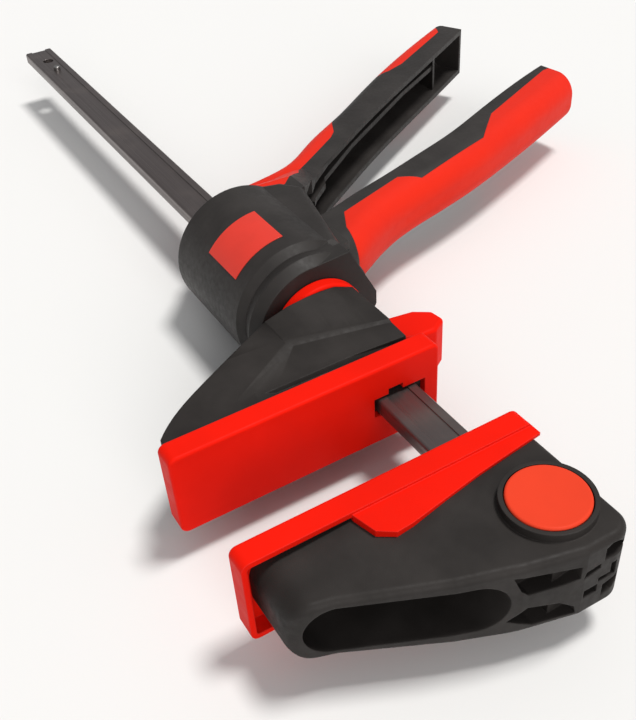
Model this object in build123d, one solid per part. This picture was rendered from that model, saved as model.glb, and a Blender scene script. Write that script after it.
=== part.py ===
"""One-handed bar clamp with a pump handle that turns right round the rail.

The clamp lies on its side. +X runs along the rail from the fixed jaw to the rear end,
+Y points to the tips of the jaws, the handle hangs on the -Y side, and +Z is up.
The origin is on the rail's axis, in the clamping plane of the fixed jaw.
"""
from build123d import *
from math import cos, sin, radians
import os

# Rail
rail_width = 17.0
rail_thickness = 6.5
rail_edge_radius = 1.2
rail_front_x = -50.0
rail_rear_x = 455.0
groove_width = 9.0
groove_depth = 0.5
rear_hole_x = 435.0
latch_hole_radius = 3.3
stop_pin_x = 417.0
stop_pin_radius = 2.0
stop_pin_proud = 2.0
stop_pin_chamfer = 0.4
slide_clearance = 0.3

# Pads
opening = 41.5
pad_tip_y = 88.4
pad_bar_y = -18.3
pad_half_height = 17.4
pad_depth = 8.8
pad_face_wall = 3.0
pad_skirt_wall = 2.0
pad_edge_radius = 1.2
pad_corner_radius = 3.0
slot_low_y = -12.0
slot_high_y = 10.0
slot_half_height = 4.2
slot_key_low_y = -2.3
slot_key_high_y = 3.9
slot_key_half_height = 6.5

# Wings of the fixed pad, flat red gussets over the jaw's faces
wing_outline = [(-13.0, -17.6), (-16.4, 9.7), (-21.2, 37.5), (-21.6, 43.6), (-17.8, 48.7), (-9.0, 51.0)]
wing_half_height = 16.4

# Fixed jaw
jaw_half_thickness = 15.2
jaw_tip_half_thickness = 12.0
jaw_taper_start_y = 24.0
fixed_jaw_bar_y = -16.0
fixed_jaw_tip_y = 84.0
fixed_jaw_back_x = -57.0
fixed_jaw_back_points = [(-51.6, 21.0), (-44.6, 39.5), (-30.2, 70.5), (-26.0, 84.0)]
fixed_jaw_corner_radius = 7.0
fixed_jaw_tip_radius = 8.0
fixed_jaw_nose_radius = 8.8
fixed_jaw_edge_radius = 2.4
tip_core_low_y = 24.0
tip_core_high_y = 80.0
tip_core_half_height = 9.9
tip_core_floor_x = -13.0
bar_core_floor_x = -51.8
bar_core_deep_x = -47.0
bar_core_deep_y = 10.4
bar_core_outlines = [
    [(24.0, 11.5), (3.4, 8.6), (3.4, 3.4), (8.0, 2.6), (19.0, 2.4), (21.5, 5.0)],
    [(25.0, -8.0), (19.0, -3.4), (9.0, -5.5), (4.0, -9.4), (3.4, -12.6), (16.5, -12.6)],
    [(-4.8, 6.6), (-4.8, 11.6), (-7.0, 13.0), (-9.5, 12.6), (-12.8, 10.2), (-14.2, 6.2)],
    [(-5.8, -5.2), (-5.8, -10.6), (-9.6, -9.6), (-13.6, -5.6), (-14.0, -3.2), (-10.4, -4.0)],
    [(-8.0, 3.4), (-10.2, 3.4), (-10.2, -2.4), (-3.6, -2.4), (-3.6, -0.6), (-8.0, -0.6)],
    [(1.8, 5.4), (-3.6, 6.0), (-3.6, 4.0), (2.4, 2.6)],
    [(1.6, -3.4), (-3.6, -3.4), (-3.6, -6.8), (1.6, -6.8)],
]

# Release button and latch of the fixed jaw
button_x = -36.5
button_radius = 13.0
button_top_z = 18.9
button_thickness = 4.6
button_edge_radius = 0.9
button_clearance = 0.35
button_travel = 4.0
boss_radius = 14.9
boss_top_z = 18.3
deck_thickness = 1.6
latch_pin_radius = 3.0
latch_pin_chamfer = 0.5
latch_clearance = 0.35
latch_reach = 3.0
latch_bar_thickness = 2.0
latch_leg_width = 6.0
latch_leg_low_y = 9.6
latch_leg_high_y = 11.4
latch_spring_wire = 1.0
latch_spring_radius = 7.2
latch_spring_turns = 4

# Movable jaw
moving_jaw_bar_y = -13.4
moving_jaw_back_x = 92.0
neck_radius = 13.0
moving_jaw_shoulder_y = 26.0
moving_jaw_nose = [(58.0, 84.6), (64.6, 77.6), (75.5, 59.5), (86.2, 38.0)]
neck_crease_start = (66.5, -13.4)
neck_crease_end = (78.5, 26.0)
neck_dome = [(-13.4, 15.2), (-5.0, 18.6), (1.0, 19.0), (8.0, 18.9), (16.0, 18.0), (26.0, 15.2)]
moving_jaw_half_thickness = 15.2
core_pocket_count = 3
core_pocket_last_y = 77.0
core_pocket_depth = 6.0
core_rib = 3.0

# Brake plate and release lever
brake_tilt = 5.0
brake_pivot_x = 66.0
brake_pivot_y = 18.0
brake_plate_thickness = 3.0
brake_plate_half_width = 8.0
brake_plate_low_y = -25.0
brake_window_width = 17.6
brake_window_height = 7.2
brake_pocket_low_x = 57.5
brake_pocket_high_x = 75.5
brake_pocket_half_height = 8.6
lever_low_x = 59.5
lever_high_x = 76.0
lever_tip_y = -34.5
lever_root_y = -14.6
lever_half_width = 10.5
lever_corner_radius = 2.4
lever_edge_radius = 1.6
cover_front_x = 77.0
cover_rear_x = 91.0
cover_thickness = 2.0
cover_half_width = 11.5
brake_spring_radius = 1.9
brake_spring_wire = 0.6
brake_spring_turns = 5
brake_spring_y = -11.2

# Swivel ring and the washer that keeps the handle on the neck
ring_front_x = 92.4
ring_rear_x = 98.6
ring_radius = 20.0
ring_edge_radius = 1.4
retainer_front_x = 103.2
retainer_thickness = 2.6
retainer_radius = 17.0
retainer_bite = 1.2
swivel_gap = 0.3

# Drive: push disc, gripping plates, return spring and rear guide
disc_thickness = 3.4
disc_radius = 19.0
plate_count = 3
plate_thickness = 3.0
plate_gap = 0.3
plate_radius = 16.0
drive_spring_radius = 13.4
drive_spring_wire = 1.8
drive_spring_turns = 6
guide_front_x = 160.0
guide_flange_length = 3.0
guide_flange_radius = 17.0
guide_radius = 11.3
handle_rear_x = 190.0

# Handle housing
drum_radius = 29.5
drum_wall = 4.0
groove_x = 109.0
drum_groove_drop = 2.7
drum_front_x = 112.5
drum_rear_x = 168.2
cone_mid_x = 175.5
cone_mid_radius = 23.8
cone_low_x = 184.0
cone_low_radius = 16.5
cone_end_radius = 13.2
shoulder_wall = 2.4
cheek_half_height = 25.5
cheek_edge_radius = 4.0
cheek_front_y = -19.5
cheek_corner = (159.0, -31.0)
cheek_rear = (168.0, -24.0)
cheek_top = (173.0, -8.0)
side_groove_front = 1.6
side_groove_rear = 3.5
side_groove_depth = 2.7
side_groove_top_y = -14.0
trigger_slot_half_width = 18.4
slot_front_x = 112.2
slot_rear_x = 172.0

# Front collar
collar_front_x = 99.0
collar_front_drop = 4.0
collar_mid_x = 103.5
collar_mid_drop = 1.1
collar_wall = 3.9
collar_side_y = -29.0
collar_shoulder_y = -17.0
collar_shoulder_z = 26.5
collar_nose_z = 3.0

# Label place: a bare plate let into the drum
label_low_x = 120.3
label_high_x = 144.5
label_low_angle = 37.0
label_high_angle = 88.0
label_thickness = 0.9
label_proud = 0.25

# Rear grip: its front and rear edges down the handle, and where it spreads into the housing
grip_front_edge = [
    (150.0, -10.0), (158.0, -30.0), (177.0, -45.0), (192.0, -64.0), (211.0, -92.0), (229.0, -120.0),
    (247.0, -150.0), (266.0, -182.0), (295.0, -230.0),
]
grip_rear_edge = [
    (197.0, -10.0), (200.0, -30.0), (204.5, -45.0), (217.5, -64.0), (235.0, -92.0), (254.0, -120.0),
    (273.5, -150.0), (292.0, -182.0), (317.0, -230.0),
]
grip_half_width = 13.8
grip_lean = 33.0
grip_root_sections = [
    (-4.0, 150.0, 172.5, 24.5, 199.0, 8.5), (-31.0, 158.5, 170.5, 24.5, 200.0, 8.5),
    (-48.0, 179.0, 190.0, 14.2, 206.0, 8.0), (-72.0, 199.0, 211.5, 12.6, 219.0, 6.5),
]
grip_wall = 2.8
grip_rear_radius = 8.0
grip_end_front = (286.0, -217.0)
grip_end_rear = (304.0, -209.0)
grip_core_top_y = -27.0
grip_rib_low_z = 1.2
grip_rib_thickness = 2.8
grip_rib_outline = [
    (171.0, -50.0), (193.0, -61.0), (216.0, -92.0), (253.0, -150.0), (272.0, -184.0),
    (300.0, -184.0), (250.0, -100.0), (215.0, -40.0), (190.0, -30.0),
]
grip_cross_walls = [-186.0]
inlay_depth = 1.4
inlay_top_y = -7.0
inlay_bore_wall = 2.0
inlay_outline = [
    (174.0, -7.0), (165.5, -20.0), (165.5, -25.0), (180.0, -40.0), (190.4, -45.6), (198.6, -58.0),
    (211.0, -76.3), (215.5, -80.8), (224.0, -85.0), (232.5, -90.0),
    (262.8, -136.0), (262.0, -146.0), (266.0, -158.0), (292.0, -203.0),
]

# Trigger: its front and rear edges down the lever
trigger_front_edge = [
    (117.0, -22.0), (121.5, -36.0), (132.0, -54.0), (142.0, -76.0), (148.0, -98.0), (155.0, -124.0),
    (166.0, -156.0), (177.5, -186.0), (196.0, -230.0),
]
trigger_rear_edge = [
    (148.0, -22.0), (150.0, -36.0), (156.0, -54.0), (162.5, -76.0), (169.5, -98.0), (178.0, -124.0),
    (191.5, -156.0), (204.0, -186.0), (219.0, -230.0),
]
trigger_half_width = 13.4
trigger_lean = 20.0
trigger_front_radius = 11.0
trigger_wall = 2.8
trigger_end_front = (192.0, -221.0)
trigger_end_rear = (213.0, -218.0)
trigger_cross_walls = [-46.0, -80.0, -115.0, -150.0, -185.0]
cross_wall_thickness = 2.2
cross_wall_recess = 4.0
soft_grip_depth = 1.4
soft_grip_outline = [
    (118.0, -34.5), (134.0, -37.0), (145.5, -43.0), (157.5, -80.0), (152.0, -90.0),
    (166.5, -138.0), (184.0, -157.0), (209.5, -214.0), (211.0, -232.0),
]
trigger_pivot_x = 117.0
trigger_pivot_y = 12.0
trigger_pin_radius = 2.0
trigger_pin_clearance = 0.06
trigger_pin_seat = 3.0
trigger_arm_low_z = 14.0
trigger_arm_high_z = 17.6
trigger_boss_radius = 3.9
trigger_nose_drop = 17.0
trigger_nose_radius = 4.0
trigger_nose_gap = 0.15
trigger_shoulder_low_y = -28.5
trigger_shoulder_high_y = -22.0
trigger_shoulder_rear_x = 131.0

# Values worked out from the sizes above
rail_half_width = rail_width / 2
rail_half_thickness = rail_thickness / 2
channel_half_width = rail_half_width + slide_clearance
channel_half_height = rail_half_thickness + slide_clearance
well_floor_z = channel_half_height + deck_thickness
disc_front_x = trigger_pivot_x + trigger_nose_radius + trigger_nose_gap
plates_front_x = disc_front_x + disc_thickness
plates_rear_x = plates_front_x + plate_count * plate_thickness + (plate_count - 1) * plate_gap
neck_rear_x = disc_front_x - swivel_gap
retainer_rear_x = retainer_front_x + retainer_thickness
chamber_front_x = groove_x + shoulder_wall
chamber_rear_x = guide_front_x + guide_flange_length + swivel_gap
chamber_radius = drum_radius - drum_wall
drum_front_radius = drum_radius - drum_groove_drop
collar_front_radius = drum_radius - collar_front_drop
collar_mid_radius = drum_radius - collar_mid_drop
beyond = 30.0


def cylinder_x(x0, x1, radius):
    """A solid cylinder round the rail's axis."""
    return Pos((x0 + x1) / 2, 0, 0) * Rot(0, 90, 0) * Cylinder(radius, x1 - x0)


def block(x0, x1, y0, y1, z0, z1):
    """A box between two corners."""
    return Pos((x0 + x1) / 2, (y0 + y1) / 2, (z0 + z1) / 2) * Box(abs(x1 - x0), abs(y1 - y0), abs(z1 - z0))


def plan_prism(points, z0, z1):
    """A flat outline in the XY plane, given thickness along Z."""
    return Pos(0, 0, z0) * extrude(make_face(Polyline(*points, close=True)), z1 - z0)


def cross_prism(points, x0, x1):
    """An outline of (y, z) points, given length along X."""
    face = Plane((x0, 0, 0), x_dir=(0, 1, 0), z_dir=(1, 0, 0)) * make_face(Polyline(*points, close=True))
    return extrude(face, x1 - x0, dir=(1, 0, 0))


def rail_channel(x0, x1):
    """The clear passage that the rail runs in."""
    return block(x0, x1, -channel_half_width, channel_half_width, -channel_half_height, channel_half_height)


def turned(points):
    """A solid of revolution round the rail's axis from (x, radius) points."""
    outline = [(points[0][0], 0), *points, (points[-1][0], 0)]
    return revolve(make_face(Polyline(*outline, close=True)), Axis.X)


def round_ends(shape, radius, low_y, high_y):
    """Round the upright edges of a plan prism that lie between two heights."""
    edges = shape.edges().filter_by(Axis.Z).filter_by(lambda e: low_y < e.center().Y < high_y)
    return fillet(edges, radius)


def coil(radius, wire, start, end, turns):
    """An open compression spring standing on the XY plane between two heights."""
    length = end - start - wire
    path = Helix(pitch=length / turns, height=length, radius=radius)
    profile = Plane(path @ 0, z_dir=path % 0) * Circle(wire / 2)
    return Pos(0, 0, start + wire / 2) * sweep(profile, path=path, is_frenet=True)


def coil_x(radius, wire, start, end, turns):
    """The same spring, lying along the rail's axis."""
    return Rot(0, 90, 0) * coil(radius, wire, start, end, turns)


def lever_prism(front_edge, rear_edge, half_width):
    """A curved lever between two edges in plan, of an even thickness."""
    front = Spline(*front_edge)
    rear = Spline(*rear_edge)
    outline = Curve() + [front, Line(front @ 1, rear @ 1), rear, Line(rear @ 0, front @ 0)]
    return Pos(0, 0, -half_width) * extrude(make_face(outline), 2 * half_width)


def long_edges(body, end):
    """The two long edges of a lever at its front (end 0) or its rear (end -1)."""
    curved = body.edges().filter_by(GeomType.BSPLINE).sort_by(Axis.X)
    return curved[:2] if end == 0 else curved[-2:]


def moved_edge(edge, reach):
    """A lever's edge line moved along the rail."""
    return [(x + reach, y) for x, y in edge]


def root_section(y, front_x, corner_x, half_width, rear_x, rear_half, inset):
    """A level section where the grip spreads into the housing, or the same inset all round."""
    upper = [(front_x, half_width), (corner_x, half_width), (rear_x, rear_half)]
    outline = upper + [(x, -z) for x, z in reversed(upper)]
    sketch = make_face(Polyline(*outline, close=True))
    if inset:
        sketch = offset(sketch, -inset, kind=Kind.INTERSECTION)
    return Plane((0, y, 0), x_dir=(1, 0, 0), z_dir=(0, -1, 0)) * sketch


def past_end(front_point, rear_point, inset):
    """All that lies beyond a sloping end line, moved up the lever by an inset."""
    (front_x, front_y), (rear_x, rear_y) = front_point, rear_point
    slope = (rear_y - front_y) / (rear_x - front_x)
    low_x, high_x = front_x - 2 * beyond, rear_x + 2 * beyond
    low_y = front_y + slope * (low_x - front_x) + inset
    high_y = rear_y + slope * (high_x - rear_x) + inset
    bottom_y = low_y - 4 * beyond
    return plan_prism([(low_x, low_y), (high_x, high_y), (high_x, bottom_y), (low_x, bottom_y)], -beyond, beyond)


def make_rail():
    """The burnished steel rail, with a shallow groove along each broad face."""
    body = block(
        rail_front_x, rail_rear_x, -rail_half_width, rail_half_width, -rail_half_thickness, rail_half_thickness
    )
    body = fillet(body.edges().filter_by(Axis.X), rail_edge_radius)
    for side in (-1, 1):
        groove = Box(rail_rear_x - rail_front_x, groove_width, 2 * groove_depth)
        body -= Pos((rail_front_x + rail_rear_x) / 2, 0, side * rail_half_thickness) * groove
    for hole_x in (button_x, rear_hole_x):
        body -= Pos(hole_x, 0, 0) * Cylinder(latch_hole_radius, 2 * rail_thickness)
    return body - Pos(stop_pin_x, 0, 0) * Cylinder(stop_pin_radius, 2 * rail_thickness)


def make_stop_pin():
    """The pin near the rear end that keeps the moving jaw on the rail."""
    pin = Cylinder(stop_pin_radius, rail_thickness + 2 * stop_pin_proud)
    return Pos(stop_pin_x, 0, 0) * chamfer(pin.edges().filter_by(GeomType.CIRCLE), stop_pin_chamfer)


def slot_outline():
    """The rail's slot through a pad: a flat slot with a key above and below, as (y, z) points."""
    upper = [
        (slot_high_y, slot_half_height), (slot_key_high_y, slot_half_height),
        (slot_key_high_y, slot_key_half_height), (slot_key_low_y, slot_key_half_height),
        (slot_key_low_y, slot_half_height), (slot_low_y, slot_half_height),
    ]
    lower = [(y, -z) for y, z in reversed(upper)]
    return upper + lower


def make_pad(face_x, direction):
    """A clamping pad: a cap with a flat face and a skirt that grips the jaw."""
    back_x = face_x + direction * pad_depth
    wall_x = face_x + direction * pad_face_wall
    cap = block(face_x, back_x, pad_bar_y, pad_tip_y, -pad_half_height, pad_half_height)
    cap = fillet(cap.edges().filter_by(Axis.X), pad_corner_radius)
    front_face = cap.faces().sort_by(Axis.X)[0 if direction > 0 else -1]
    cap = fillet(front_face.edges(), pad_edge_radius)
    inner_half = pad_half_height - pad_skirt_wall
    cavity = block(
        wall_x, back_x + direction * beyond, pad_bar_y + pad_skirt_wall, pad_tip_y - pad_skirt_wall,
        -inner_half, inner_half,
    )
    cavity = fillet(cavity.edges().filter_by(Axis.X), pad_corner_radius - pad_skirt_wall)
    return cap - cavity - cross_prism(slot_outline(), face_x - beyond, face_x + beyond)


def jaw_profile(low_y, tip_y, half):
    """A jaw seen along the rail: full thickness near the rail, thinner at the tip, as (y, z) points."""
    return [
        (low_y, -half), (jaw_taper_start_y, -half), (tip_y, -jaw_tip_half_thickness),
        (tip_y, jaw_tip_half_thickness), (jaw_taper_start_y, half), (low_y, half),
    ]


def make_fixed_pad():
    """The fixed jaw's pad, with a wing lying on each broad face of the jaw."""
    root_x = -pad_depth + pad_skirt_wall
    outline = [(root_x, wing_outline[0][1]), *wing_outline, (root_x, wing_outline[-1][1])]
    wings = plan_prism(outline, -wing_half_height, wing_half_height)
    wings -= cross_prism(
        jaw_profile(pad_bar_y - beyond, fixed_jaw_tip_y, jaw_half_thickness), -2 * beyond, 0
    )
    return make_pad(0, -1) + wings


def make_fixed_jaw_blank():
    """The fixed jaw's outer form: tapered in plan and in thickness, with rounded edges."""
    front_x = -pad_face_wall
    outline = [
        (front_x, fixed_jaw_bar_y), (fixed_jaw_back_x, fixed_jaw_bar_y), (fixed_jaw_back_x + 0.4, 2.0),
        *fixed_jaw_back_points, (front_x, fixed_jaw_tip_y),
    ]
    body = plan_prism(outline, -jaw_half_thickness, jaw_half_thickness)
    upright = body.edges().filter_by(Axis.Z)
    back_corner = upright.sort_by_distance((fixed_jaw_back_x, fixed_jaw_bar_y, 0))[0]
    body = fillet(back_corner, fixed_jaw_corner_radius)
    tip_corner = body.edges().filter_by(Axis.Z).sort_by_distance((*fixed_jaw_back_points[-1], 0))[0]
    body = fillet(tip_corner, fixed_jaw_tip_radius)
    profile = cross_prism(
        jaw_profile(fixed_jaw_bar_y, fixed_jaw_tip_y, jaw_half_thickness), fixed_jaw_back_x, front_x
    )
    body &= fillet(profile.edges().filter_by(Axis.X).sort_by(Axis.Y)[-2:], fixed_jaw_nose_radius)
    rims = outer_rims(body, front_x - 0.5)
    return fillet(rims, fixed_jaw_edge_radius)


def outer_rims(body, front_x):
    """The edges round a jaw's two broad faces, apart from those at its front and across its faces."""
    rims = ShapeList()
    for face in body.faces():
        if abs(face.normal_at().Z) > 0.9:
            rims += face.edges()
    return ShapeList([e for e in rims if e.center().X < front_x and not across_face(e)])


def across_face(edge):
    """True for the line where a jaw's level part meets its tapered part."""
    heights = [v.Y for v in edge.vertices()]
    return max(abs(y - jaw_taper_start_y) for y in heights) < 0.01


def make_fixed_jaw():
    """The fixed jaw with the rail's channel, the button's well, the latch's room and cored pockets."""
    body = make_fixed_jaw_blank()
    body += Pos(button_x, 0, boss_top_z / 2) * Cylinder(boss_radius, boss_top_z)
    body -= rail_channel(rail_front_x - slide_clearance, 0)
    well_top = boss_top_z + beyond
    body -= Pos(button_x, 0, (well_floor_z + well_top) / 2) * Cylinder(
        button_radius + button_clearance, well_top - well_floor_z
    )
    room_half_x = latch_leg_width / 2 + latch_clearance
    room_half_y = latch_leg_high_y + latch_clearance
    room_floor = latch_bar_low_z() - button_travel - 1
    body -= block(
        button_x - room_half_x, button_x + room_half_x, -room_half_y, room_half_y, room_floor, well_floor_z + 1
    )
    core_height = 2 * tip_core_half_height
    core_plane = Plane(
        (tip_core_floor_x, (tip_core_low_y + tip_core_high_y) / 2, 0), x_dir=(0, 1, 0), z_dir=(-1, 0, 0)
    )
    core_face = core_plane * SlotOverall(tip_core_high_y - tip_core_low_y, core_height)
    body -= extrude(core_face, 2 * beyond)
    deep_room = block(-3 * beyond, bar_core_deep_x, bar_core_deep_y, beyond, -beyond, beyond)
    for outline in bar_core_outlines:
        pocket = cross_prism(outline, -3 * beyond, 0)
        body -= pocket & block(-3 * beyond, bar_core_floor_x, -beyond, beyond, -beyond, beyond)
        body -= pocket & deep_room
    return body


def latch_bar_low_z():
    """Height of the underside of the latch's crossbar at rest."""
    return -(rail_half_thickness + latch_reach + latch_bar_thickness)


def make_button():
    """The round release button, slightly domed at its rim."""
    disc = Pos(button_x, 0, button_top_z - button_thickness / 2) * Cylinder(button_radius, button_thickness)
    return fillet(disc.faces().sort_by(Axis.Z)[-1].edges(), button_edge_radius)


def make_latch():
    """The steel latch: two legs round the rail, a crossbar, and a pin up into the rail's hole."""
    half_x = latch_leg_width / 2
    bar_low = latch_bar_low_z()
    bar_top = bar_low + latch_bar_thickness
    leg_top = button_top_z - button_thickness
    body = block(button_x - half_x, button_x + half_x, -latch_leg_high_y, latch_leg_high_y, bar_low, bar_top)
    for side in (-1, 1):
        body += block(
            button_x - half_x, button_x + half_x, side * latch_leg_low_y, side * latch_leg_high_y, bar_low, leg_top
        )
    pin_top = -rail_half_thickness + latch_reach
    pin = Pos(button_x, 0, (pin_top + bar_low) / 2) * Cylinder(latch_pin_radius, pin_top - bar_low)
    pin = chamfer(pin.faces().sort_by(Axis.Z)[-1].edges(), latch_pin_chamfer)
    return body + pin


def make_latch_spring():
    """The coil under the button, seated on the deck above the rail."""
    spring = coil(
        latch_spring_radius, latch_spring_wire, well_floor_z, button_top_z - button_thickness, latch_spring_turns
    )
    return Pos(button_x, 0, 0) * spring


def make_moving_jaw_blank():
    """The moving jaw's outer form: a curved nose in plan, thinner towards the tip."""
    front_x = opening + pad_face_wall
    tip_y = moving_jaw_nose[0][1]
    nose = Spline(*moving_jaw_nose, (moving_jaw_back_x, moving_jaw_shoulder_y))
    rest = Polyline(
        nose @ 1, (moving_jaw_back_x, moving_jaw_bar_y), (front_x, moving_jaw_bar_y), (front_x, tip_y), nose @ 0
    )
    half = moving_jaw_half_thickness
    body = Pos(0, 0, -half) * extrude(make_face(Curve() + [nose, rest]), 2 * half)
    return body & cross_prism(jaw_profile(moving_jaw_bar_y, tip_y, half), front_x, moving_jaw_back_x)


def neck_facet(side):
    """The raised facet between the crease across the jaw and the neck, on one broad face."""
    half = moving_jaw_half_thickness
    crease = Vector(*neck_crease_end) - Vector(*neck_crease_start)
    first_plane = Plane((*neck_crease_start, 0), x_dir=crease, z_dir=(crease.Y, -crease.X, 0))
    last_plane = Plane((moving_jaw_back_x, 0, 0), x_dir=(0, 1, 0), z_dir=(1, 0, 0))
    jaw_width = moving_jaw_shoulder_y - moving_jaw_bar_y
    along = [(y - moving_jaw_bar_y) / jaw_width * crease.length for y, z in neck_dome]
    low = [(0, 0), *[(u, side * half) for u in along], (crease.length, 0)]
    high = [(moving_jaw_bar_y, 0), *[(y, side * z) for y, z in neck_dome], (moving_jaw_shoulder_y, 0)]
    sections = [
        plane * make_face(Polyline(*points, close=True))
        for plane, points in ((first_plane, low), (last_plane, high))
    ]
    return loft(sections, ruled=True)


def make_moving_jaw():
    """The moving jaw with its neck, the brake's room and the cored pockets behind its pad."""
    front_x = opening + pad_face_wall
    body = make_moving_jaw_blank()
    for side in (-1, 1):
        body += neck_facet(side)
    body += cylinder_x(moving_jaw_back_x - 1, neck_rear_x, neck_radius)
    body -= cylinder_x(retainer_front_x, retainer_rear_x, neck_radius + 1) - cylinder_x(
        retainer_front_x, retainer_rear_x, neck_radius - retainer_bite
    )
    body -= rail_channel(front_x - 1, neck_rear_x + 1)
    pocket_top_y = brake_pivot_y + brake_plate_thickness / 2 + slide_clearance
    body -= block(
        brake_pocket_low_x, brake_pocket_high_x, moving_jaw_bar_y - 1, pocket_top_y,
        -brake_pocket_half_height, brake_pocket_half_height,
    )
    first_y = brake_pivot_y + core_rib
    span = (core_pocket_last_y - first_y) / core_pocket_count
    for index in range(core_pocket_count):
        low_y = first_y + index * span
        body -= block(
            front_x - 1, front_x + core_pocket_depth, low_y, low_y + span - core_rib,
            -jaw_tip_half_thickness + core_rib, jaw_tip_half_thickness - core_rib,
        )
    return body


def leaning(shape):
    """Turn a straight brake piece about its pivot into its locked, leaning place."""
    return Pos(brake_pivot_x, brake_pivot_y) * Rot(0, 0, -brake_tilt) * Pos(-brake_pivot_x, -brake_pivot_y) * shape


def make_brake_plate():
    """The hardened plate that locks on the rail when it leans, with a round bead where it pivots."""
    half = brake_plate_thickness / 2
    plate = block(
        brake_pivot_x - half, brake_pivot_x + half, brake_plate_low_y, brake_pivot_y,
        -brake_plate_half_width, brake_plate_half_width,
    )
    plate += Pos(brake_pivot_x, brake_pivot_y, 0) * Cylinder(half, 2 * brake_plate_half_width)
    window_y = brake_pivot_y - brake_pivot_y / cos(radians(brake_tilt))
    window = Pos(brake_pivot_x, window_y, 0) * Box(2 * beyond, brake_window_width, brake_window_height)
    return leaning(plate - window)


def make_release_lever():
    """The red thumb lever, moulded round the brake plate's free end."""
    outline = [
        (lever_low_x + 2, lever_root_y), (lever_low_x, lever_root_y - 5), (lever_low_x + 0.5, lever_tip_y + 6),
        (lever_low_x + 5, lever_tip_y), (lever_high_x - 5, lever_tip_y + 1.5),
        (lever_high_x - 1, lever_tip_y + 8), (lever_high_x, lever_root_y),
    ]
    body = plan_prism(outline, -lever_half_width, lever_half_width)
    body = round_ends(body, lever_corner_radius, lever_tip_y - 1, lever_root_y - 6)
    broad = body.faces().filter_by(Axis.Z)
    rims = ShapeList([e for face in broad for e in face.edges() if e.center().Y < lever_root_y - 0.5])
    body = fillet(rims, lever_edge_radius)
    half = brake_plate_thickness / 2
    body -= block(
        brake_pivot_x - half, brake_pivot_x + half, brake_plate_low_y, 0,
        -brake_plate_half_width, brake_plate_half_width,
    )
    return leaning(body)


def make_brake_cover():
    """The red strip that closes the jaw's underside behind the lever."""
    strip = block(
        cover_front_x, cover_rear_x, moving_jaw_bar_y - cover_thickness, moving_jaw_bar_y,
        -cover_half_width, cover_half_width,
    )
    return fillet(strip.faces().sort_by(Axis.Y)[0].edges(), cover_thickness / 2)


def make_brake_spring():
    """The small spring that leans the brake plate against the rail."""
    lean = radians(brake_tilt)
    half_rear = brake_plate_thickness / 2 + brake_spring_radius * sin(lean)
    start = brake_pivot_x + half_rear - (brake_pivot_y - brake_spring_y) * sin(lean)
    spring = coil_x(brake_spring_radius, brake_spring_wire, start, brake_pocket_high_x, brake_spring_turns)
    return Pos(0, brake_spring_y, 0) * spring


def make_swivel_ring():
    """The red ring between the jaw and the handle."""
    ring = cylinder_x(ring_front_x, ring_rear_x, ring_radius)
    ring = fillet(ring.edges().filter_by(GeomType.CIRCLE), ring_edge_radius)
    return ring - cylinder_x(ring_front_x - 1, ring_rear_x + 1, neck_radius)


def make_retaining_ring():
    """The ring in the neck's groove that holds the handle on."""
    ring = cylinder_x(retainer_front_x, retainer_rear_x, retainer_radius)
    return ring - cylinder_x(retainer_front_x - 1, retainer_rear_x + 1, neck_radius - retainer_bite)


def make_push_disc():
    """The disc that the trigger's arms push; it stays square to the rail as the handle turns."""
    disc = cylinder_x(disc_front_x, disc_front_x + disc_thickness, disc_radius)
    return disc - rail_channel(disc_front_x - 1, disc_front_x + disc_thickness + 1)


def make_drive_plate(index):
    """One of the hardened plates that grip the rail on each stroke."""
    start = plates_front_x + index * (plate_thickness + plate_gap)
    return cylinder_x(start, start + plate_thickness, plate_radius) - rail_channel(start - 1, start + 5)


def make_drive_spring():
    """The return spring round the rail, behind the drive plates."""
    return coil_x(drive_spring_radius, drive_spring_wire, plates_rear_x, guide_front_x, drive_spring_turns)


def make_rear_guide():
    """The sleeve at the rear of the handle: a spring seat and a bearing on the rail."""
    body = cylinder_x(guide_front_x, guide_front_x + guide_flange_length, guide_flange_radius)
    body += cylinder_x(guide_front_x, handle_rear_x, guide_radius)
    return body - rail_channel(guide_front_x - 1, handle_rear_x + 1)


def side_grooves():
    """The V groove where it runs on over the flat sides of the collar and the housing."""
    bottom_z = cheek_half_height - side_groove_depth
    mouth_z = bottom_z + 2 * side_groove_depth
    outline = [
        (groove_x, bottom_z), (groove_x - 2 * side_groove_front, mouth_z), (groove_x + 2 * side_groove_rear, mouth_z),
    ]
    plane = Plane((0, side_groove_top_y, 0), x_dir=(1, 0, 0), z_dir=(0, -1, 0))
    cuts = []
    for side in (-1, 1):
        face = plane * make_face(Polyline(*[(x, side * z) for x, z in outline], close=True))
        cuts.append(extrude(face, 2 * beyond, dir=(0, -1, 0)))
    return Compound(children=cuts)


def make_front_collar():
    """The nose of the handle: a bevelled ring with flats towards the trigger."""
    side_outline = [
        (0, collar_front_radius), (collar_shoulder_y, collar_shoulder_z), (collar_side_y, collar_nose_z),
        (collar_side_y, -collar_nose_z), (collar_shoulder_y, -collar_shoulder_z), (0, -collar_front_radius),
    ]
    body = turned([
        (collar_front_x, collar_front_radius), (collar_mid_x, collar_mid_radius), (groove_x, drum_front_radius),
    ])
    body += cross_prism(side_outline, collar_front_x, groove_x)
    body -= side_grooves()
    body -= cylinder_x(collar_front_x - 1, groove_x + 1, neck_radius + swivel_gap)
    return body - cylinder_x(collar_front_x + collar_wall, groove_x + 1, retainer_radius + swivel_gap)


def grip_form(inset, front_reach):
    """The grip's outer form or, with an inset and a longer front, the room inside it."""
    half_width = grip_half_width - inset
    rear = moved_edge(grip_rear_edge, -inset / cos(radians(grip_lean)))
    body = lever_prism(moved_edge(grip_front_edge, -front_reach), rear, half_width)
    return fillet(long_edges(body, -1), grip_rear_radius - inset)


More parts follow.
